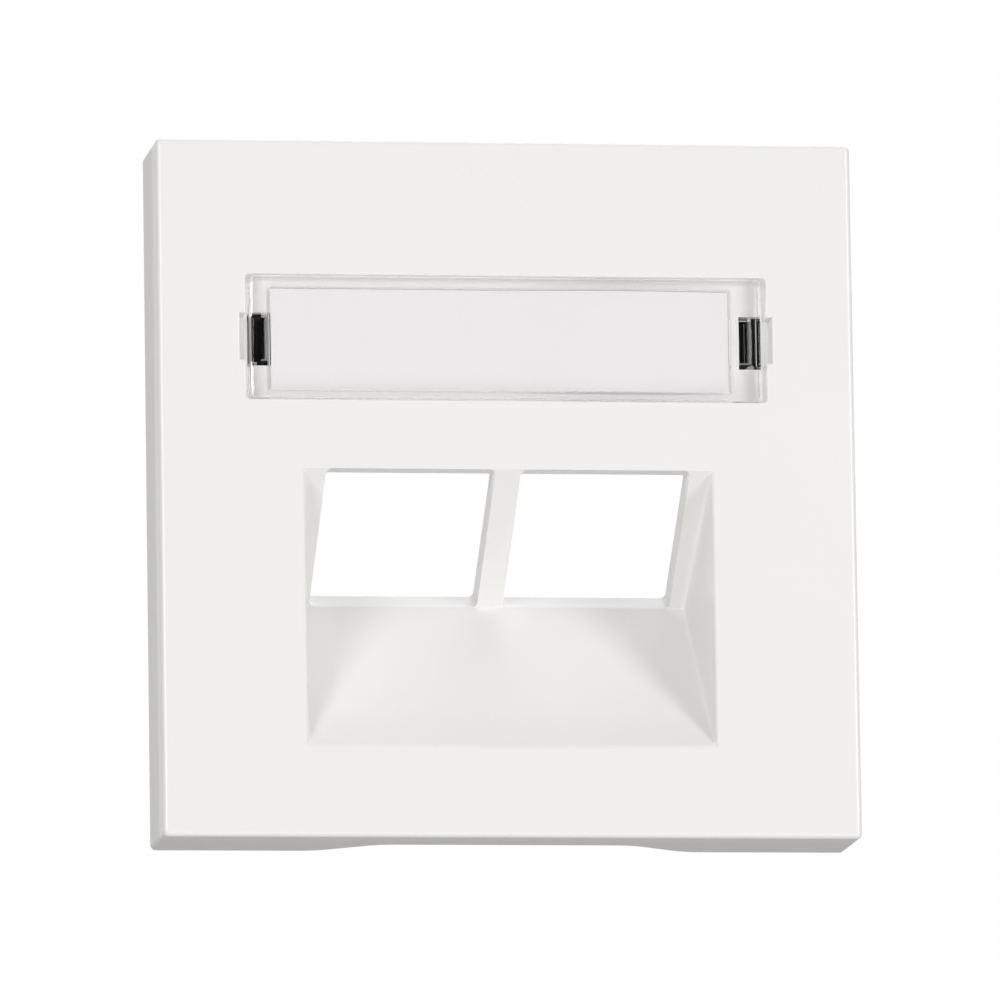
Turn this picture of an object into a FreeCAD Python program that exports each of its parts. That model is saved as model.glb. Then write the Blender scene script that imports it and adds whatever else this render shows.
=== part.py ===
"""Keystone faceplate: a 63 mm centre plate for two keystone jacks, with a label field.

The plate stands upright as it is fixed to a wall. X runs to the right, Z up and Y into the
wall. The origin is the middle of the rear rim, the plane that lies against the frame, so
the front face is at minus the depth of the side walls. Depths are counted from the front.
"""
import FreeCAD, Part
import math
import os
import re

import Sketcher

SIZES = (
    ("plate_width", 63.0, "Width of the plate"),
    ("plate_height", 63.0, "Height of the plate"),
    ("wall_depth", 9.8, "Depth of the side walls, front face to rear rim"),
    ("plate_thickness", 2.5, "Thickness of the front plate"),
    ("wall_thickness", 2.0, "Thickness of the side walls"),
    ("edge_round", 0.5, "Radius of the front edge and of the four corners"),
    ("cavity_round", 1.2, "Radius of the corners behind the front plate"),
    ("relief_width", 22.8, "Width of the relief in the lower wall, at its floor"),
    ("relief_depth", 4.5, "Depth of that relief, from the rear rim"),
    ("relief_run", 5.4, "Run of each sloping end of the relief"),
    ("relief_round", 4.0, "Radius where the sloping ends begin and end"),
    ("label_width", 47.1, "Width of the label recess"),
    ("label_height", 11.3, "Height of the label recess"),
    ("label_level", 13.6, "Height of the middle of the label above the plate's middle"),
    ("label_depth", 2.5, "Depth of the label recess"),
    ("label_floor", 1.0, "Thickness of the floor of the label recess"),
    ("label_wall", 1.5, "Wall round the label recess, behind the front plate"),
    ("label_round", 0.35, "Radius of the corners of the label recess"),
    ("label_rim_round", 0.15, "Radius of the front edge of the label recess"),
    ("notch_depth", 0.55, "Depth of the finger notch in each end of the recess"),
    ("notch_height", 4.2, "Height of the finger notches"),
    ("slot_width", 1.85, "Width of the slot that a window hook passes"),
    ("slot_height", 4.8, "Height of that slot"),
    ("slot_clearance", 0.1, "Gap between a window hook and the outer end of its slot"),
    ("window_clearance", 0.5, "Gap between the window and each end of its recess"),
    ("window_play", 0.1, "Gap between the window and the recess above and below it"),
    ("window_lift", 0.05, "Gap between the rims of the window and the floor of its recess"),
    ("window_pane", 1.0, "Thickness of the clear pane"),
    ("window_rim", 0.9, "Rim of the window above and below the card"),
    ("window_left_rim", 1.8, "Rim of the window at its left end"),
    ("window_right_rim", 2.65, "Rim of the window at its right end"),
    ("window_round", 0.2, "Radius of the front edge of the window"),
    ("hook_thickness", 0.9, "Thickness of a window hook"),
    ("hook_reach", 0.9, "Reach of the hook behind the floor of the recess"),
    ("hook_grip", 0.2, "How far the barb stands past the outer edge of its slot"),
    ("hook_clearance", 0.1, "Gap between the barb and the floor that it grips"),
    ("left_core_hole", 0.55, "Width of the hole in the pane beside the left hook"),
    ("right_core_hole", 1.1, "Width of the hole in the pane beside the right hook"),
    ("card_thickness", 0.25, "Thickness of the label card"),
    ("card_play", 0.1, "Gap between the card and the rims round it"),
    ("card_lift", 0.05, "Gap between the card and the floor of the label recess"),
    ("catch_wall", 0.8, "Wall of the black catch cup"),
    ("catch_depth", 4.6, "Depth of the catch cup"),
    ("catch_room", 0.1, "Gap between the barb and the inside of the cup"),
    ("rail_thickness", 1.0, "Thickness of the rails that hold a catch"),
    ("rail_height", 2.2, "Height of those rails"),
    ("rail_clearance", 0.1, "Gap between a catch and its rails"),
    ("outlet_height", 25.0, "Height of the outlet recess at the face"),
    ("outlet_top", 1.7, "Height of its upper edge above the plate's middle"),
    ("crease_depth", 13.4, "Depth of the crease where the two slopes meet"),
    ("crease_drop", 10.5, "Drop from the upper edge to the crease"),
    ("side_lean", 0.65, "How far each side wall leans in, at the crease"),
    ("outlet_round", 0.4, "Radius of the inner corners of the outlet recess"),
    ("rim_break", 0.15, "Chamfer round the front edge of the outlet recess"),
    ("ledge_round", 0.25, "Radius of the lower front edge of a jack opening"),
    ("port_wall", 2.65, "Thickness of the sloping wall that holds the jacks"),
    ("slope_wall", 2.0, "Thickness of the lower slope"),
    ("outlet_side_wall", 2.0, "Thickness of the sides of the outlet housing"),
    ("port_width", 15.3, "Width of a jack opening"),
    ("port_web", 2.3, "Width of the bar between the two openings"),
    ("port_margin", 1.3, "From an opening to the side of the recess, at the crease"),
    ("port_round", 0.5, "Radius of the corners of an opening"),
    ("port_ledge_slope", 0.50, "Rise of the ledge under a jack, for each mm of depth"),
    ("leg_spread_across", 42.0, "Distance between the snap legs, side to side"),
    ("leg_spread_up", 50.0, "Distance between the snap legs, top to bottom"),
    ("leg_width", 5.0, "Width of a snap leg"),
    ("leg_thickness", 1.4, "Thickness of a snap leg"),
    ("leg_reach", 5.5, "How far a snap leg stands behind the rear rim"),
    ("leg_barb", 0.8, "How far the barb of a snap leg stands out"),
    ("leg_barb_length", 2.4, "Length of that barb"),
    ("rib_thickness", 1.2, "Thickness of the stiffening ribs"),
    ("rib_height", 3.5, "Height of the stiffening ribs"),
    ("rib_spread", 30.0, "Distance between the two ribs above the label"),
)
ALIASES = {alias for alias, _, _ in SIZES}
TOLERANCE = 1e-4

FRONT = "wall_depth"
CREASE_LEVEL = "(outlet_top - crease_drop)"
OUTLET_BOTTOM = "(outlet_top - outlet_height)"
UPPER_SLOPE = "(crease_drop / crease_depth)"
LOWER_SLOPE = "((outlet_height - crease_drop) / crease_depth)"
UPPER_OUTER = f"(outlet_top + port_wall * sqrt(1 + {UPPER_SLOPE} ^ 2))"
LOWER_OUTER = f"({OUTLET_BOTTOM} - slope_wall * sqrt(1 + {LOWER_SLOPE} ^ 2))"
OUTER_DEPTH = f"(({UPPER_OUTER} - {LOWER_OUTER}) / ({UPPER_SLOPE} + {LOWER_SLOPE}))"
OUTER_LEVEL = f"({UPPER_OUTER} - {UPPER_SLOPE} * {OUTER_DEPTH})"
OUTLET_HALF = "(port_width + port_web / 2 + port_margin + side_lean)"
OUTER_HALF = f"({OUTLET_HALF} + outlet_side_wall)"
SIDE_SLOPE = "(side_lean / crease_depth)"
HALF_WINDOW = "(label_width / 2 - window_clearance)"
FLOOR_BACK = "(label_depth + label_floor)"
SLOT_OUTER = f"({HALF_WINDOW} + slot_clearance)"
SLOT_MIDDLE = f"({SLOT_OUTER} - slot_width / 2)"
CATCH_MARGIN = "(hook_grip + catch_room)"
CATCH_HEIGHT = f"(slot_height + 2 * ({CATCH_MARGIN} + catch_wall))"

document = FreeCAD.newDocument("keystone_faceplate")
sheet = document.addObject("Spreadsheet::Sheet", "Sizes")
for row, (alias, value, meaning) in enumerate(SIZES, start=1):
    sheet.set(f"A{row}", meaning)
    sheet.set(f"B{row}", str(value))
    sheet.setAlias(f"B{row}", alias)
document.recompute()


def in_sheet(text):
    """The same formula, with each size written as a cell of the sheet."""
    def cell(word):
        return f"Sizes.{word[0]}" if word[0] in ALIASES else word[0]
    return re.sub(r"[a-z_]+", cell, text)


def worth(text):
    """What a formula comes to, in millimetres."""
    return float(sheet.evalExpression(in_sheet(text)))


def bind(thing, **formulas):
    """Bind properties of an object to formulas on the sheet."""
    for name, text in formulas.items():
        thing.setExpression(name.replace("__", "."), in_sheet(text))


def new_body(label, **place):
    """A sub-part of its own, placed by formulas on the sheet."""
    body = document.addObject("PartDesign::Body", label)
    body.Label = label
    bind(body, **{f"Placement__Base__{axis}": text for axis, text in place.items()})
    return body


def origin_plane(body, role):
    """One of the body's own three origin planes."""
    return next(item for item in body.Origin.OriginFeatures if item.Role == role)


def new_sketch(body, name, role, **offset):
    """An empty sketch on an origin plane, moved by formulas in the plane's own axes."""
    sketch = body.newObject("Sketcher::SketchObject", name)
    sketch.AttachmentSupport = [(origin_plane(body, role), "")]
    sketch.MapMode = "FlatFace"
    bind(sketch, **{f"AttachmentOffset__Base__{axis}": text for axis, text in offset.items()})
    return sketch


def add_loop(sketch, corners):
    """Draw a closed chain of straight lines through the corners."""
    first = sketch.GeometryCount
    for start, end in zip(corners, corners[1:] + corners[:1]):
        sketch.addGeometry(Part.LineSegment(start, end), False)
    for index in range(len(corners)):
        following = (index + 1) % len(corners)
        joint = Sketcher.Constraint("Coincident", first + index, 2, first + following, 1)
        sketch.addConstraint(joint)
    return first


def rectangle(body, name, role, width, height, **offset):
    """A sketch of one rectangle whose middle is at the sketch's origin."""
    sketch = new_sketch(body, name, role, **offset)
    across, up = worth(width) / 2, worth(height) / 2
    signs = ((-1, -1), (1, -1), (1, 1), (-1, 1))
    corners = [FreeCAD.Vector(side * across, level * up, 0) for side, level in signs]
    add_loop(sketch, corners)
    for line in (0, 2):
        sketch.addConstraint(Sketcher.Constraint("Horizontal", line))
    for line in (1, 3):
        sketch.addConstraint(Sketcher.Constraint("Vertical", line))
    sketch.addConstraint(Sketcher.Constraint("Symmetric", 0, 1, 1, 2, -1, 1))
    wide = sketch.addConstraint(Sketcher.Constraint("DistanceX", 0, 1, 0, 2, 2 * across))
    high = sketch.addConstraint(Sketcher.Constraint("DistanceY", 1, 1, 1, 2, 2 * up))
    sketch.setExpression(f"Constraints[{wide}]", in_sheet(width))
    sketch.setExpression(f"Constraints[{high}]", in_sheet(height))
    return sketch


def outline(body, name, role, points, **offset):
    """A sketch of a closed outline. Each corner is a pair of formulas."""
    sketch = new_sketch(body, name, role, **offset)
    corners = [FreeCAD.Vector(worth(across), worth(up), 0) for across, up in points]
    first = add_loop(sketch, corners)
    for index, (corner, formulas) in enumerate(zip(corners, points)):
        for kind, value, text in zip(("DistanceX", "DistanceY"), corner, formulas):
            size = Sketcher.Constraint(kind, -1, 1, first + index, 1, value)
            place = sketch.addConstraint(size)
            sketch.setExpression(f"Constraints[{place}]", in_sheet(text))
    return sketch


def extrude(kind, body, name, sketch, length, back=False, middle=False):
    """Pad or Pocket a sketch by a length, along the plane's normal or back from it."""
    feature = body.newObject(f"PartDesign::{kind}", name)
    feature.Profile = sketch
    feature.Type = "Length"
    feature.SideType = "Symmetric" if middle else "One side"
    feature.Reversed = back
    bind(feature, Length=length)
    document.recompute()
    return feature


def pad(body, name, sketch, length, back=False, middle=False):
    """Add material from a sketch."""
    return extrude("Pad", body, name, sketch, length, back, middle)


def pocket(body, name, sketch, length, back=False, middle=False):
    """Take material away, and make sure that some went."""
    before = body.Shape.Volume
    feature = extrude("Pocket", body, name, sketch, length, back, middle)
    if not body.Shape.Volume < before:
        raise RuntimeError(f"{name} removed nothing")
    return feature


def mirrored(body, name, *features, role="YZ_Plane"):
    """Repeat features on the other side of an origin plane."""
    mirror = body.newObject("PartDesign::Mirrored", name)
    mirror.Originals = list(features)
    mirror.MirrorPlane = (origin_plane(body, role), [""])
    body.Tip = mirror
    document.recompute()
    return mirror


def rounded(body, name, radius, wanted):
    """Fillet the edges for which wanted(start, end) holds."""
    base = body.Tip
    names = []
    for number, edge in enumerate(base.Shape.Edges, start=1):
        if edge.Degenerated or edge.Curve.TypeId != "Part::GeomLine":
            continue
        if wanted(edge.Vertexes[0].Point, edge.Vertexes[-1].Point):
            names.append(f"Edge{number}")
    if not names:
        raise RuntimeError(f"{name} found no edge")
    fillet = body.newObject("PartDesign::Fillet", name)
    fillet.Base = (base, names)
    bind(fillet, Radius=radius)
    document.recompute()
    return fillet


def near(value, formula):
    """Whether a coordinate is at the place that a formula gives."""
    return math.isclose(value, worth(formula), abs_tol=TOLERANCE)


def runs_back(start, end):
    """Whether an edge runs straight into the wall."""
    return abs(start.x - end.x) < TOLERANCE and abs(start.z - end.z) < TOLERANCE


def on_face(start, end):
    """Whether an edge lies in the plane of the front face."""
    return near(start.y, f"-{FRONT}") and near(end.y, f"-{FRONT}")


def inside(point, half_width, level, half_height):
    """Whether a point lies in an upright rectangle, edges included."""
    across = abs(point.x) <= worth(half_width) + TOLERANCE
    return across and abs(point.z - worth(level)) <= worth(half_height) + TOLERANCE


def wedge(body, kind, name, front, back):
    """A wedge along Y. Each end is (depth, half width, lower level, upper level)."""
    shape = body.newObject(f"PartDesign::{kind}", name)
    front_depth, front_half, front_low, front_high = front
    back_depth, back_half, back_low, back_high = back
    bind(shape, Ymin=f"{front_depth} - {FRONT}", Ymax=f"{back_depth} - {FRONT}",
         Xmin=f"-{front_half}", Xmax=front_half, X2min=f"-{back_half}", X2max=back_half,
         Zmin=front_low, Zmax=front_high, Z2min=back_low, Z2max=back_high)
    document.recompute()
    return shape


# The shell: a front plate with four side walls, open at the back.

def make_shell(body):
    block = rectangle(body, "plate_outline", "XZ_Plane", "plate_width", "plate_height")
    pad(body, "plate_block", block, "wall_depth")
    rounded(body, "outer_rounds", "edge_round",
            lambda start, end: runs_back(start, end) or on_face(start, end))
    hollow = rectangle(body, "cavity_outline", "XZ_Plane",
                       "plate_width - 2 * wall_thickness", "plate_height - 2 * wall_thickness")
    pocket(body, "rear_cavity", hollow, "wall_depth - plate_thickness", back=True)
    rounded(body, "cavity_rounds", "cavity_round",
            lambda start, end: runs_back(start, end)
            and near(abs(start.x), "plate_width / 2 - wall_thickness"))


# The relief in the rear edge of the lower wall, with sloping, rounded ends.

def make_relief(body):
    floor_half = "relief_width / 2"
    mouth_half = "(relief_width / 2 + relief_run)"
    points = [(f"-{mouth_half}", "0"), (f"-{floor_half}", "-relief_depth"),
              (floor_half, "-relief_depth"), (mouth_half, "0")]
    relief = outline(body, "relief_outline", "XY_Plane", points, z="-plate_height / 2")
    pocket(body, "lower_relief", relief, "wall_thickness", back=True)

    def at_corner(start, end):
        crosses_wall = near(abs(start.z - end.z), "wall_thickness")
        at_floor = near(abs(start.x), floor_half) and near(start.y, "-relief_depth")
        at_mouth = near(abs(start.x), mouth_half) and near(start.y, "0")
        return crosses_wall and (at_floor or at_mouth)

    rounded(body, "relief_rounds", "relief_round", at_corner)


# The label field: a shallow recess with a floor of its own behind the front plate, a
# finger notch in each end and a slot at each end for the hooks of the window.

def make_label_field(body):
    half_plate = "plate_thickness / 2"
    box = rectangle(body, "label_box_outline", "XZ_Plane",
                    "label_width + 2 * (notch_depth + label_wall)", "label_height + 2 * label_wall",
                    y="label_level", z=f"{FRONT} - {half_plate}")
    pad(body, "label_box", box, f"{FLOOR_BACK} - {half_plate}", back=True)
    recess = rectangle(body, "label_outline", "XZ_Plane", "label_width", "label_height",
                       y="label_level", z=FRONT)
    pocket(body, "label_recess", recess, "label_depth")
    rounded(body, "label_rounds", "label_round",
            lambda start, end: runs_back(start, end)
            and near(abs(start.x), "label_width / 2")
            and near(abs(start.z - worth("label_level")), "label_height / 2"))
    notches = rectangle(body, "notch_outline", "XZ_Plane", "label_width + 2 * notch_depth",
                        "notch_height", y="label_level", z=FRONT)
    pocket(body, "finger_notches", notches, "label_depth")
    rounded(body, "label_rim_rounds", "label_rim_round",
            lambda start, end: on_face(start, end)
            and inside(start, "label_width / 2 + notch_depth", "label_level", "label_height / 2"))
    slot = rectangle(body, "slot_outline", "XZ_Plane", "slot_width", "slot_height",
                     x=SLOT_MIDDLE, y="label_level", z=FRONT)
    right_slot = pocket(body, "right_slot", slot, FLOOR_BACK)
    mirrored(body, "left_slot", right_slot)


# The outlet: a recess whose upper slope faces down and carries the jacks.

def make_outlet(body):
    skin = "plate_thickness / 2"
    wedge(body, "AdditiveWedge", "outlet_housing",
          (skin, f"({OUTER_HALF} - {SIDE_SLOPE} * {skin})",
           f"{LOWER_OUTER} + {LOWER_SLOPE} * {skin}", f"{UPPER_OUTER} - {UPPER_SLOPE} * {skin}"),
          (OUTER_DEPTH, f"({OUTER_HALF} - {SIDE_SLOPE} * {OUTER_DEPTH})", OUTER_LEVEL, OUTER_LEVEL))
    wedge(body, "SubtractiveWedge", "outlet_recess",
          ("0", OUTLET_HALF, OUTLET_BOTTOM, "outlet_top"),
          ("crease_depth", f"({OUTLET_HALF} - side_lean)", CREASE_LEVEL, CREASE_LEVEL))
    rim_half = f"({OUTLET_HALF} - {SIDE_SLOPE} * rim_break)"
    wedge(body, "SubtractiveWedge", "outlet_rim_break",
          ("0", f"({OUTLET_HALF} + rim_break)", f"{OUTLET_BOTTOM} - rim_break", "outlet_top"),
          ("rim_break", rim_half, f"{OUTLET_BOTTOM} + {LOWER_SLOPE} * rim_break",
           f"outlet_top - {UPPER_SLOPE} * rim_break"))

    def along_side(start, end):
        ends = sorted((start, end), key=lambda point: point.y)
        at_rim = near(ends[0].y, f"rim_break - {FRONT}") and near(abs(ends[0].x), rim_half)
        return at_rim and near(ends[1].z, CREASE_LEVEL)

    rounded(body, "outlet_rounds", "outlet_round", along_side)


# The two openings for the jacks. The ledge at the bottom of each one climbs away from the
# crease. At the top only the front plate is left, as the edge that a jack's latch holds.

def make_ports(body):
    past_housing = f"({OUTER_DEPTH} + plate_thickness)"
    points = [(f"-{FRONT}", "outlet_top"),
              (f"plate_thickness - {FRONT}", "outlet_top"),
              (f"plate_thickness - {FRONT}", UPPER_OUTER),
              (f"{past_housing} - {FRONT}", UPPER_OUTER),
              (f"{past_housing} - {FRONT}",
               f"{CREASE_LEVEL} + port_ledge_slope * ({past_housing} - crease_depth)"),
              (f"crease_depth - {FRONT}", CREASE_LEVEL),
              (f"-{FRONT}", CREASE_LEVEL)]
    port = outline(body, "port_outline", "YZ_Plane", points, z="(port_width + port_web) / 2")
    right_port = pocket(body, "right_port", port, "port_width", middle=True)
    mirrored(body, "left_port", right_port)

    def at_port_side(point):
        beside = ("port_web / 2", "port_web / 2 + port_width")
        return any(near(abs(point.x), formula) for formula in beside)

    def at_port_corner(start, end):
        if not (at_port_side(start) and near(start.x, str(end.x))):
            return False
        ceiling = near(start.z, "outlet_top") and near(end.z, "outlet_top")
        rise, depth = end.z - start.z, end.y - start.y
        ledge = abs(depth) > 0 and near(rise / depth, "port_ledge_slope")
        return ceiling or ledge

    rounded(body, "port_rounds", "port_round", at_port_corner)

    def at_ledge(start, end):
        level = near(start.z, CREASE_LEVEL) and near(end.z, CREASE_LEVEL)
        across = abs(start.x - end.x)
        return level and worth("port_width / 2") < across < worth("port_width") + TOLERANCE

    rounded(body, "ledge_rounds", "ledge_round", at_ledge)


# The snap legs that hold the plate in its support ring, two above and two below.

def make_legs(body):
    for name, sign in (("upper", ""), ("lower", "-")):
        inner = f"{sign}(leg_spread_up / 2 - leg_thickness / 2)"
        outer = f"{sign}(leg_spread_up / 2 + leg_thickness / 2)"
        barb = f"{sign}(leg_spread_up / 2 + leg_thickness / 2 + leg_barb)"
        root = f"plate_thickness / 2 - {FRONT}"
        shoulder = "leg_reach - leg_barb_length"
        tip = f"{sign}(leg_spread_up / 2)"
        points = [(root, inner), ("leg_reach", inner), ("leg_reach", tip),
                  (shoulder, barb), (shoulder, outer), (root, outer)]
        side = outline(body, f"{name}_leg_outline", "YZ_Plane", points, z="leg_spread_across / 2")
        right = pad(body, f"{name}_right_leg", side, "leg_width", middle=True)
        mirrored(body, f"{name}_left_leg", right)


# Ribs on the back of the front plate: two above the label box and one from each side wall
# to the outlet housing, and the rails between which the catches sit.

def make_ribs(body):
    half_plate = "plate_thickness / 2"
    from_plate = f"{FRONT} - {half_plate}"
    box_top = "(label_level + label_height / 2 + label_wall / 2)"
    wall_middle = "(plate_height / 2 - wall_thickness / 2)"
    above = rectangle(body, "upper_rib_outline", "XZ_Plane", "rib_thickness",
                      f"{wall_middle} - {box_top}", x="rib_spread / 2",
                      y=f"({wall_middle} + {box_top}) / 2", z=from_plate)
    upper_rib = pad(body, "upper_right_rib", above, f"rib_height + {half_plate}", back=True)
    mirrored(body, "upper_left_rib", upper_rib)

    side_wall = "(plate_width / 2 - wall_thickness / 2)"
    housing = f"({OUTER_HALF} - outlet_side_wall / 2)"
    beside = rectangle(body, "side_rib_outline", "XZ_Plane", f"{side_wall} - {housing}",
                       "rib_thickness", x=f"({side_wall} + {housing}) / 2", y=CREASE_LEVEL,
                       z=from_plate)
    side_rib = pad(body, "right_side_rib", beside, f"rib_height + {half_plate}", back=True)
    mirrored(body, "left_side_rib", side_rib)

    for name, sign in (("upper", "+"), ("lower", "-")):
        level = f"{CATCH_HEIGHT} / 2 + rail_clearance + rail_thickness / 2"
        rail = rectangle(body, f"{name}_rail_outline", "XZ_Plane", "slot_width", "rail_thickness",
                         x=SLOT_MIDDLE, y=f"label_level {sign} ({level})",
                         z=f"{FRONT} - label_depth - label_floor / 2")
        right_rail = pad(body, f"{name}_right_rail", rail, "rail_height + label_floor / 2", back=True)
        mirrored(body, f"{name}_left_rail", right_rail)


def make_faceplate():
    body = new_body("faceplate")
    make_shell(body)
    make_relief(body)
    make_label_field(body)
    make_outlet(body)
    make_ports(body)
    make_legs(body)
    make_ribs(body)
    return body


# The clear window over the label. Its own origin is the middle of its front face.

def make_window():
    body = new_body("label_window", y=f"-{FRONT}", z="label_level")
    width, height = f"2 * {HALF_WINDOW}", "label_height - 2 * window_play"
    front = rectangle(body, "window_outline", "XZ_Plane", width, height)
    pad(body, "window_block", front, "label_depth - window_lift", back=True)
    rounded(body, "window_corners", "label_round", lambda start, end: runs_back(start, end))
    rounded(body, "window_rounds", "window_round",
            lambda start, end: near(start.y, "0") and near(end.y, "0"))
    chamber = rectangle(body, "chamber_outline", "XZ_Plane",
                        f"{width} - window_left_rim - window_right_rim",
                        "label_height - 2 * (window_play + window_rim)",
                        x="(window_left_rim - window_right_rim) / 2", z="-label_depth")
    pocket(body, "card_chamber", chamber, "label_depth - window_pane", back=True)

    hook_half = f"({HALF_WINDOW} - hook_thickness)"
    back = f"({FLOOR_BACK} + hook_reach)"
    grip = f"({FLOOR_BACK} + hook_clearance)"
    points = [(hook_half, "window_round"), (hook_half, back), (HALF_WINDOW, back),
              (f"{SLOT_OUTER} + hook_grip", grip), (HALF_WINDOW, grip),
              (HALF_WINDOW, "window_round")]
    side = outline(body, "hook_outline", "XY_Plane", points)
    right_hook = pad(body, "right_hook", side, "notch_height", middle=True)
    mirrored(body, "left_hook", right_hook)

    for width, sign in (("left_core_hole", "-"), ("right_core_hole", "")):
        hole = rectangle(body, f"{width}_outline", "XZ_Plane", width, "notch_height",
                         x=f"{sign}({hook_half} - {width} / 2)")
        pocket(body, width, hole, "label_depth")
    return body


# The paper card behind the pane.

def make_card():
    body = new_body("label_card", x="(window_left_rim - window_right_rim) / 2",
                    y=f"label_depth - card_lift - card_thickness - {FRONT}", z="label_level")
    width = f"2 * ({HALF_WINDOW} - card_play) - window_left_rim - window_right_rim"
    height = "label_height - 2 * (window_play + window_rim + card_play)"
    face = rectangle(body, "card_outline", "XZ_Plane", width, height)
    pad(body, "card", face, "card_thickness", back=True)
    return body


# The black cups behind the two slots, in which the hooks of the window end.

def make_catch(label, sign):
    body = new_body(label, x=f"{sign}{SLOT_MIDDLE}", y=f"{FLOOR_BACK} - {FRONT}", z="label_level")
    inside = (f"slot_width + 2 * {CATCH_MARGIN}", f"slot_height + 2 * {CATCH_MARGIN}")
    outside = (f"{inside[0]} + 2 * catch_wall", CATCH_HEIGHT)
    block = rectangle(body, "catch_outline", "XZ_Plane", *outside)
    pad(body, "catch_block", block, "catch_depth", back=True)
    hollow = rectangle(body, "catch_hollow_outline", "XZ_Plane", *inside)
    pocket(body, "catch_hollow", hollow, "catch_depth - catch_wall")
    return body


parts = [make_faceplate(), make_window(), make_card(),
         make_catch("catch_left", "-"), make_catch("catch_right", "")]
document.recompute()

for item in document.Objects:
    if "Invalid" in item.State or "Error" in item.State:
        raise RuntimeError(f"{item.Name} failed: {item.State}")
for part in parts:
    if part.Shape.isNull() or not part.Shape.isValid():
        raise RuntimeError(f"{part.Label} has no valid shape")

os.makedirs("parts", exist_ok=True)
for part in parts:
    part.Shape.exportStep(f"parts/{part.Label}.step")
    box = part.Shape.BoundBox
    print(f"{part.Label}: {len(part.Shape.Solids)} solid, {part.Shape.Volume:.1f} mm3, "
          f"{box.XLength:.2f} x {box.YLength:.2f} x {box.ZLength:.2f} mm")
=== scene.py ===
# %% [markdown]
# # A keystone faceplate, dressed in Blender
# The object is the centre plate of a wall outlet for two data jacks. It is one white moulding
# with a sloping recess, and over it a clear window holds a paper card for the room's labels.
# The shapes come from a CAD model, so this lesson is mostly about light and finishes. The one
# soft thing on the object, the paper card, is modelled here, because paper bows.

# %% Load the model as a fixed frame
import math

import bpy
from mathutils import Matrix, Vector


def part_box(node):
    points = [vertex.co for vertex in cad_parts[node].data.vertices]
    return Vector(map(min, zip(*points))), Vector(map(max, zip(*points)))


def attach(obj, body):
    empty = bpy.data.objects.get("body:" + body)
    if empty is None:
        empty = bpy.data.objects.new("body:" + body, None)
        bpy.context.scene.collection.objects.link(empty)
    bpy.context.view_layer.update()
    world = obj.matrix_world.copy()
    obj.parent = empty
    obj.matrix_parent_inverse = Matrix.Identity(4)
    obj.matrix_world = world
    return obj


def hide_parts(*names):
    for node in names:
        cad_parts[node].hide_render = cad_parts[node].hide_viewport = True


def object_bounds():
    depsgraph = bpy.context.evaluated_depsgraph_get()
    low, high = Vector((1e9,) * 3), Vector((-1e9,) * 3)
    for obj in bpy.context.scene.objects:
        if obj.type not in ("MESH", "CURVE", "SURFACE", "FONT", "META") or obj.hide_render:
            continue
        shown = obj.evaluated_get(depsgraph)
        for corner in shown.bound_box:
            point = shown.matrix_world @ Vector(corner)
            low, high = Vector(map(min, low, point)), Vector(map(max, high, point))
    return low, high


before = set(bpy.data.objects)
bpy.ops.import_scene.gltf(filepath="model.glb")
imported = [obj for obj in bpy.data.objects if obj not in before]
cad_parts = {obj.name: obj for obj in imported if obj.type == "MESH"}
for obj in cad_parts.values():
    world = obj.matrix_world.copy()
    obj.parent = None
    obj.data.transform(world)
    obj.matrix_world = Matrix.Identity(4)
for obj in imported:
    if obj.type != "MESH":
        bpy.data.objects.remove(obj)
cad_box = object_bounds()
scene = bpy.context.scene
MM = 0.001
print("nodes:", sorted(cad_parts))


# %% [markdown]
# ## The camera
# A small product looks truest from well back through a long lens, which keeps its edges
# nearly parallel. The camera stands a little to the left of the plate and below it, which
# shows the left wall, the lower wall and the depth of the recess. It could be aimed with a
# constraint, but a matrix made of three directions is plain, and it takes a small roll.

# %% Camera
VIEW_AZIMUTH = math.radians(-8.3)
VIEW_ELEVATION = math.radians(-8.8)
VIEW_ROLL = math.radians(-0.858)
VIEW_DISTANCE = 1.2
LENS = 481.1
NEAR, FAR = 0.1, 20.0
AIM = Vector((-0.14, -5.0, -0.33)) * MM


def direction(azimuth, elevation):
    """From the object towards a place seen at this azimuth and elevation, in radians."""
    level = math.cos(elevation)
    return Vector((math.sin(azimuth) * level, -math.cos(azimuth) * level, math.sin(elevation)))


def facing(outwards, roll=0.0):
    """A turn whose Z axis is the direction given, as cameras and lamps look along -Z."""
    right = Vector((0, 0, 1)).cross(outwards).normalized()
    upwards = outwards.cross(right)
    across = math.cos(roll) * right + math.sin(roll) * upwards
    return Matrix((across, outwards.cross(across), outwards)).transposed().to_4x4()


outwards = direction(VIEW_AZIMUTH, VIEW_ELEVATION)
bpy.ops.object.camera_add()
camera = bpy.context.object
camera.name = "camera"
camera.data.lens = LENS
camera.data.clip_start, camera.data.clip_end = NEAR, FAR
stand = Matrix.Translation(AIM + VIEW_DISTANCE * outwards)
camera.matrix_world = stand @ facing(outwards, VIEW_ROLL)
scene.camera = camera
print("camera at", [round(c, 3) for c in camera.location], "metres")


# %% [markdown]
# ## Shader maths in plain Python
# A material in Blender is a graph of nodes, and sums made of Math nodes are hard to read. The
# small class here wraps one output socket and overloads the operators, so that an expression
# such as `0.3 + 0.1 * grain` adds its own nodes. Every other node comes from one method that
# takes its type, its settings and what goes into its sockets.

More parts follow.
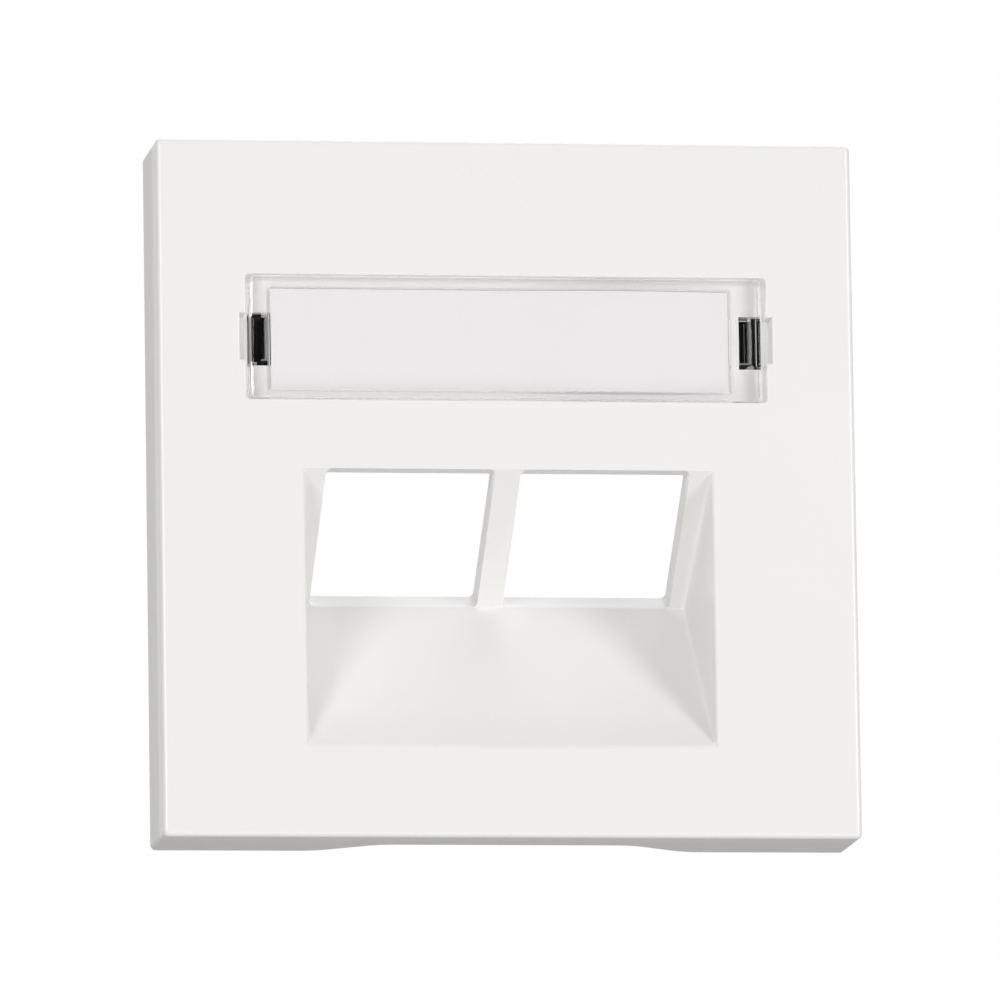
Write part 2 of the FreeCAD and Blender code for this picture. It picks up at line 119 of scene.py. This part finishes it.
# %% Shader maths
class Signal:
    """One output socket, which can be added, multiplied and so on."""

    def __init__(self, graph, socket):
        self.graph, self.socket = graph, socket

    def maths(self, operation, first, second):
        return self.graph.node("ShaderNodeMath", {"operation": operation}, {0: first, 1: second})

    def __add__(self, other):
        return self.maths("ADD", self, other)

    def __radd__(self, other):
        return self.maths("ADD", other, self)

    def __sub__(self, other):
        return self.maths("SUBTRACT", self, other)

    def __rsub__(self, other):
        return self.maths("SUBTRACT", other, self)

    def __mul__(self, other):
        return self.maths("MULTIPLY", self, other)

    def __rmul__(self, other):
        return self.maths("MULTIPLY", other, self)

    def __or__(self, other):
        return self.maths("MAXIMUM", self, other)


class Graph:
    """The nodes of a material or of the world."""

    def __init__(self, tree):
        self.tree = tree

    def node(self, kind, settings=None, sockets=None, out=0):
        made = self.tree.nodes.new(kind)
        for name, value in (settings or {}).items():
            setattr(made, name, value)
        for name, value in (sockets or {}).items():
            self.feed(made.inputs[name], value)
        return Signal(self, made.outputs[out])

    def feed(self, socket, value):
        if isinstance(value, Signal):
            self.tree.links.new(value.socket, socket)
        else:
            socket.default_value = value

    def ramp(self, signal, low, high):
        """0 below `low`, 1 above `high`, and smooth between."""
        return self.node("ShaderNodeMapRange", {"interpolation_type": "SMOOTHSTEP"}, {
            "Value": signal, "From Min": low, "From Max": high})

    def mixed(self, factor, first, second):
        """One shader over another."""
        return self.node("ShaderNodeMixShader", {}, {0: factor, 1: first, 2: second})

    def ray(self, kind):
        return self.node("ShaderNodeLightPath", out=f"Is {kind} Ray")


class Finish(Graph):
    """A material, its Principled shader and the nodes that feed it."""

    def __init__(self, name):
        self.material = bpy.data.materials.new(name)
        self.material.use_nodes = True
        super().__init__(self.material.node_tree)
        self.shader = self.tree.nodes["Principled BSDF"]
        self.output = self.tree.nodes["Material Output"]

    def set(self, **sockets):
        """Sockets of the Principled shader, with spaces written as underscores."""
        for name, value in sockets.items():
            self.feed(self.shader.inputs[name.replace("_", " ")], value)

    def place(self):
        return self.node("ShaderNodeTexCoord", out="Object")

    def stretched(self, place, scale):
        return self.node("ShaderNodeMapping", {}, {"Vector": place, "Scale": scale})

    def noise(self, place, size, detail=2.0, roughness=0.5):
        """A cloudy signal around 0.5, with blotches about `size` metres across."""
        return self.node("ShaderNodeTexNoise", {}, {
            "Vector": place, "Scale": 1 / size, "Detail": detail, "Roughness": roughness})

    def tint(self, factor, first, second):
        """A colour between two colours."""
        return self.node("ShaderNodeMix", {"data_type": "RGBA"}, {
            "Factor": factor, 6: first, 7: second}, out=2)

    def bump(self, height, depth):
        """A normal for a relief `depth` metres deep."""
        return self.node("ShaderNodeBump", {}, {
            "Height": height, "Distance": depth, "Strength": 1.0})


print("shader maths ready")


# %% [markdown]
# ## The white plastic
# The plate is moulded in a tough white plastic. Its mould is polished on the show side and
# left rough inside, so the front has a soft satin gloss and the back is duller. White plastic
# is never one flat white: the melt cools unevenly, which leaves very faint clouds, and dust in
# the mould leaves a fine grain. A picture could be wrapped round the part, but noise in
# object coordinates needs no unwrapping and has a true size in metres.

# %% White plastic
SHOW_DEPTH = 7.2 * MM       # behind this plane, measured out from the wall, the mould is rough
SHOW_EDGE = 0.4 * MM        # over which the polish ends
WHITES = ((0.893, 0.886, 0.874, 1), (0.911, 0.906, 0.894, 1))
CLOUD_SIZE = 22 * MM
GRAIN_SIZE = 0.14 * MM
GRAIN_DEPTH = 0.004 * MM
SHOW_GRAIN = 0.35           # how much of that depth the polished side has
SPECK_SIZE = 0.5 * MM
SPECK_LIMITS = (0.70, 0.78)
SPECK_COLOUR = (0.60, 0.58, 0.55, 1)
SPECK_SHARE = 0.05
SHOW_ROUGHNESS = 0.24
CLOUD_ROUGHNESS = 0.06      # what the clouds, the grain and the rough side add to it
GRAIN_ROUGHNESS = 0.04
INSIDE_ROUGHNESS = 0.16
PLASTIC_IOR = 1.49


def white_plastic():
    paint = Finish("white_plastic")
    place = paint.place()
    clouds = paint.noise(place, CLOUD_SIZE, detail=3)
    grain = paint.noise(place, GRAIN_SIZE, detail=2)
    specks = paint.ramp(paint.noise(place, SPECK_SIZE), *SPECK_LIMITS)
    depth = paint.node("ShaderNodeSeparateXYZ", {}, {"Vector": place}, out="Y")
    inside = paint.ramp(depth, -SHOW_DEPTH, -SHOW_DEPTH + SHOW_EDGE)
    polish = SHOW_ROUGHNESS + CLOUD_ROUGHNESS * clouds + GRAIN_ROUGHNESS * grain
    paint.set(
        Base_Color=paint.tint(SPECK_SHARE * specks, paint.tint(clouds, *WHITES), SPECK_COLOUR),
        Roughness=polish + INSIDE_ROUGHNESS * inside,
        Normal=paint.bump(grain * (SHOW_GRAIN + inside), GRAIN_DEPTH),
        IOR=PLASTIC_IOR,
    )
    return paint.material


def dress(node, material):
    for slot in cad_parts[node].material_slots:
        slot.material = material


dress("faceplate", white_plastic())
print("faceplate dressed")


# %% [markdown]
# ## The black catches
# Behind each slot sits a black cup in which a hook of the window ends. It is hidden but for
# the dark seen through the slot. A black plastic isn't at zero: it has a grey sheen on a
# sanded mould.

# %% Black plastic
BLACKS = ((0.006, 0.006, 0.006, 1), (0.010, 0.009, 0.009, 1))
SAND_SIZE = 0.12 * MM
SAND_DEPTH = 0.006 * MM
SANDED_ROUGHNESS = 0.48
SAND_ROUGHNESS = 0.12
SHADE_SIZE = 2.5 * MM
BLACK_IOR = 1.5


def black_plastic():
    paint = Finish("black_plastic")
    place = paint.place()
    sand = paint.noise(place, SAND_SIZE, detail=3)
    shades = paint.noise(place, SHADE_SIZE)
    paint.set(
        Base_Color=paint.tint(shades, *BLACKS),
        Roughness=SANDED_ROUGHNESS + SAND_ROUGHNESS * sand,
        Normal=paint.bump(sand, SAND_DEPTH),
        IOR=BLACK_IOR,
    )
    return paint.material


BLACK = black_plastic()
for name in ("catch_left", "catch_right"):
    dress(name, BLACK)
print("catches dressed")


# %% [markdown]
# ## The clear window
# The window is moulded in clear plastic, which bends light, so its rims show as bright and
# grey lines. A Principled shader with full transmission does that, but it also stops the lamp
# from reaching the card behind it. So the shader lets shadow rays and diffuse rays straight
# through, which is what a thin clear pane does in life. A ray that has been thrown back and
# forth in a rim a few times is let straight out too: otherwise it would be given up and counted
# as black. Two small round marks of the ejector pins stand on its left block.

# %% Clear plastic
PIN_MARKS = ((-22.8, 17.2), (-22.8, 9.4))     # middle of each mark, across and up, in mm
PIN_EDGE = (0.345 * MM, 0.255 * MM)           # where a mark begins, and where it is full
PIN_DEPTH = 0.02 * MM
WHITE = (1, 1, 1, 1)
CLEARS = ((0.990, 0.993, 0.993, 1), WHITE)
HAZE_SIZE = 1.5 * MM
HAZE_ROUGHNESS = 0.01
TURN_LIMITS = (3.4, 3.6)    # from its fourth bounce on, a ray leaves without bending


def clear_plastic():
    paint = Finish("clear_plastic")
    place = paint.place()
    haze = paint.noise(place, HAZE_SIZE, detail=3)
    flat = paint.stretched(place, (1, 0, 1))
    marks = 0.0
    for across, up in PIN_MARKS:
        away = paint.node("ShaderNodeVectorMath", {"operation": "DISTANCE"}, {
            0: flat, 1: (across * MM, 0, up * MM)}, out="Value")
        marks = marks + paint.ramp(away, *PIN_EDGE)
    paint.set(
        Base_Color=paint.tint(haze, *CLEARS),
        Roughness=HAZE_ROUGHNESS * haze,
        Normal=paint.bump(marks, PIN_DEPTH),
        IOR=PLASTIC_IOR,
    )
    paint.shader.inputs["Transmission Weight"].default_value = 1.0
    clear = paint.node("ShaderNodeBsdfTransparent", {}, {"Color": WHITE})
    plastic = Signal(paint, paint.shader.outputs[0])
    turns = paint.node("ShaderNodeLightPath", out="Ray Depth")
    trapped = paint.ramp(turns, *TURN_LIMITS)
    through = paint.ray("Shadow") | paint.ray("Diffuse") | trapped
    pane = paint.mixed(through, plastic, clear)
    paint.feed(paint.output.inputs["Surface"], pane)
    return paint.material


dress("label_window", clear_plastic())
print("window dressed")


# %% [markdown]
# ## The paper card
# The card is a strip of stiff paper, cut a little too long to lie flat in its chamber, so it
# rests on the floor of the chamber on the left and bows out to the window right of the
# middle. It could be a bent plane from a formula, but by hand it is quicker to begin with one
# thin end of the strip and extrude it along in short steps, each a little nearer or farther.

# %% Paper card
FIELD_DEPTH = 2.5 * MM      # from the plate's face to the floor of the label recess
PANE = 1.0 * MM
CARD_STEPS = 48
CARD_GAP = 0.12 * MM        # from the card to the floor behind it and to the pane
BOW_MIDDLE = 10.5 * MM
BOW_REACH = 12.0 * MM
BOW_SHARE = 0.5             # how much of the free depth the bow takes up
SOLID_PLAY = 0.1 * MM       # gap between the CAD card and the rims round it
CARD_PLAY = 0.03 * MM       # and the gap round a card that is cut to fit
CUT_EDGE = 0.04 * MM
CUT_STEPS = 2
CUT_ANGLE = math.radians(50)
SMOOTH_ANGLE = math.radians(30)
SIDEWAYS = 0.9              # a normal with more than this of X looks to the right


def deselect_all():
    if bpy.context.object and bpy.context.object.mode != "OBJECT":
        bpy.ops.object.mode_set(mode="OBJECT")
    bpy.ops.object.select_all(action="DESELECT")


def bowed(across, floor, room):
    """Depth of the card at a place along it: on the floor, but for one soft wave."""
    wave = max(0.0, 1 - abs(across - BOW_MIDDLE) / BOW_REACH)
    return floor - room * wave * wave * (3 - 2 * wave)


def paper_card():
    low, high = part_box("label_card")
    spread = Vector((SOLID_PLAY - CARD_PLAY, 0, SOLID_PLAY - CARD_PLAY))
    low, high = low - spread, high + spread
    front = cad_box[0].y
    thick = high.y - low.y
    floor = front + FIELD_DEPTH - CARD_GAP - thick / 2
    room = BOW_SHARE * (FIELD_DEPTH - PANE - 2 * CARD_GAP - thick)
    step = (high.x - low.x) / CARD_STEPS
    deselect_all()
    bpy.ops.mesh.primitive_cube_add(size=1)
    card = bpy.context.object
    card.name = "paper_card"
    card.dimensions = (step, thick, high.z - low.z)
    card.location = (low.x + step / 2, bowed(low.x, floor, room), (low.z + high.z) / 2)
    bpy.ops.object.transform_apply(location=True, rotation=True, scale=True)
    bpy.ops.object.mode_set(mode="EDIT")
    bpy.ops.mesh.select_mode(type="FACE")
    bpy.ops.mesh.select_all(action="DESELECT")
    bpy.ops.object.mode_set(mode="OBJECT")
    for face in card.data.polygons:
        face.select = face.normal.x > SIDEWAYS
    bpy.ops.object.mode_set(mode="EDIT")
    for number in range(1, CARD_STEPS):
        here, there = low.x + number * step, low.x + (number + 1) * step
        rise = bowed(there, floor, room) - bowed(here, floor, room)
        bpy.ops.mesh.extrude_region_move(TRANSFORM_OT_translate={"value": (step, rise, 0)})
    bpy.ops.object.mode_set(mode="OBJECT")
    edge = card.modifiers.new("cut_edge", "BEVEL")
    edge.width, edge.segments = CUT_EDGE, CUT_STEPS
    edge.limit_method, edge.angle_limit = "ANGLE", CUT_ANGLE
    bpy.ops.object.modifier_apply(modifier="cut_edge")
    bpy.ops.object.shade_smooth_by_angle(angle=SMOOTH_ANGLE)
    return card


card = paper_card()
print("card:", len(card.data.polygons), "faces")


# %% [markdown]
# ## The finish of the paper
# Coated paper is matt and nearly white, a touch cooler than the plastic. Its fibres lie along
# the strip, so the fine noise is squeezed up and down, and it drives colour, roughness and a
# very shallow relief together.

# %% Paper
PAPERS = ((0.890, 0.877, 0.880, 1), (0.914, 0.901, 0.904, 1))
FIBRE_SIZE = 0.35 * MM
FIBRE_SQUEEZE = (1, 1, 2.5)
FIBRE_DEPTH = 0.012 * MM
TONE_SIZE = 5 * MM
TONE_SHARE, FIBRE_SHARE = 0.6, 0.4
PAPER_ROUGHNESS = 0.78
FIBRE_ROUGHNESS = 0.12
PAPER_SPECULAR = 0.3


def card_paper():
    paint = Finish("card_paper")
    place = paint.place()
    squeezed = paint.stretched(place, FIBRE_SQUEEZE)
    fibres = paint.noise(squeezed, FIBRE_SIZE, detail=4, roughness=0.7)
    tone = paint.noise(place, TONE_SIZE)
    paint.set(
        Base_Color=paint.tint(TONE_SHARE * tone + FIBRE_SHARE * fibres, *PAPERS),
        Roughness=PAPER_ROUGHNESS + FIBRE_ROUGHNESS * fibres,
        Normal=paint.bump(fibres, FIBRE_DEPTH),
    )
    paint.shader.inputs["Specular IOR Level"].default_value = PAPER_SPECULAR
    return paint.material


card.data.materials.append(card_paper())
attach(card, "root")
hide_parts("label_card")
print("card dressed, in the place of the CAD card")


# %% [markdown]
# ## The light tent
# White on white shows its shape only by small steps of grey. The way of a studio is a wide
# white tent in front of the object, in a room that gives a little light from all round: the
# face takes most of it, and the side walls about half. A black card round the place that the
# flat window mirrors towards the camera keeps it free of glare. The tent could be a ring of
# lamps, but a world whose brightness changes with direction is smoother. Rays that only look
# at the background find plain white.

# %% World
TENT_LEVEL = 0.31
TENT_COLOUR = (1, 0.99, 0.985, 1)
TENT_EDGE = (-0.15, 0.30)           # how far forwards the tent begins, and where it is full
BACKDROP_EDGE = (-0.25, 0.05)       # and where the white backdrop ends
ROOM_LEVEL = 0.19
CARD_MIDDLE = direction(-VIEW_AZIMUTH, -VIEW_ELEVATION)
CARD_EDGE = (math.cos(math.radians(24)), math.cos(math.radians(15)))
CARD_DARK = 0.96


def light_tent():
    world = bpy.data.worlds.new("light_tent")
    scene.world = world
    world.use_nodes = True
    tent = Graph(world.node_tree)
    towards = tent.node("ShaderNodeTexCoord", out="Generated")
    forwards = -1 * tent.node("ShaderNodeSeparateXYZ", {}, {"Vector": towards}, out="Y")
    ahead = tent.ramp(forwards, *TENT_EDGE)
    beside = tent.node("ShaderNodeVectorMath", {"operation": "DOT_PRODUCT"}, {
        0: towards, 1: CARD_MIDDLE}, out="Value")
    black = CARD_DARK * tent.ramp(beside, *CARD_EDGE)
    level = (ROOM_LEVEL + TENT_LEVEL * ahead) * (1 - black)
    light = world.node_tree.nodes["Background"]
    light.inputs["Color"].default_value = TENT_COLOUR
    tent.feed(light.inputs["Strength"], level)
    white = tent.node("ShaderNodeBackground", {}, {"Color": WHITE, "Strength": 1})
    backdrop = 1 - tent.ramp(forwards, *BACKDROP_EDGE)
    looks = (tent.ray("Glossy") | tent.ray("Transmission")) * backdrop
    seen = tent.mixed(tent.ray("Camera") | looks, Signal(tent, light.outputs[0]), white)
    tent.feed(world.node_tree.nodes["World Output"].inputs["Surface"], seen)


light_tent()
scene.view_settings.view_transform = "Standard"
print("tent level", TENT_LEVEL)


# %% [markdown]
# ## Lamps
# Two lamps stand well to the right and left of the camera. Each is small enough to cast a soft
# edge, and where a side wall of the recess hides one of them, the slope behind it turns grey.
# Two weak ones, below the camera and right under the plate, fill the lower wall. A wide one
# stands high behind: its light comes through the openings and falls deep into the recess,
# which the lamps in front can't reach. It is wide so that the bar between the openings leaves
# no dark stripe.

# %% Lamps
LAMP_DISTANCE = 1.6


def soft_lamp(name, azimuth, elevation, size, watts):
    outwards = direction(math.radians(azimuth), math.radians(elevation))
    bpy.ops.object.light_add(type="AREA")
    lamp = bpy.context.object
    lamp.name = name
    lamp.data.shape = "DISK"
    lamp.data.size, lamp.data.energy = size, watts
    lamp.visible_camera = False
    lamp.matrix_world = Matrix.Translation(LAMP_DISTANCE * outwards) @ facing(outwards)


soft_lamp("right", azimuth=37, elevation=4, size=0.5, watts=7.8)
soft_lamp("left", azimuth=-31, elevation=4, size=0.56, watts=7.6)
soft_lamp("low", azimuth=0, elevation=-42, size=0.56, watts=2.2)
soft_lamp("under", azimuth=0, elevation=-84, size=0.56, watts=0.9)
soft_lamp("behind", azimuth=150, elevation=60, size=1.7, watts=10.8)
print("lamps ready")


# %% [markdown]
# ## The floor
# A plain pale floor lies well below the plate and takes its shadow. A white floor would also
# throw light up at the object, and the lamps are set without that, so it is left out of what
# diffuse rays and shadow rays find. It is stage, and no piece of the object.

# %% Floor
FLOOR_LEVEL = -0.30
FLOOR_SIZE = 8
FLOOR_COLOUR = (0.90, 0.90, 0.90, 1)
FLOOR_ROUGHNESS = 0.9


def floor():
    deselect_all()
    bpy.ops.mesh.primitive_plane_add(size=FLOOR_SIZE, location=(0, 0, FLOOR_LEVEL))
    plane = bpy.context.object
    plane.name = "floor"
    bpy.ops.object.transform_apply(location=True, rotation=True, scale=True)
    paint = Finish("pale_floor")
    paint.set(Base_Color=FLOOR_COLOUR, Roughness=FLOOR_ROUGHNESS)
    plane.data.materials.append(paint.material)
    plane.visible_diffuse = plane.visible_shadow = False


floor()
print("floor ready")
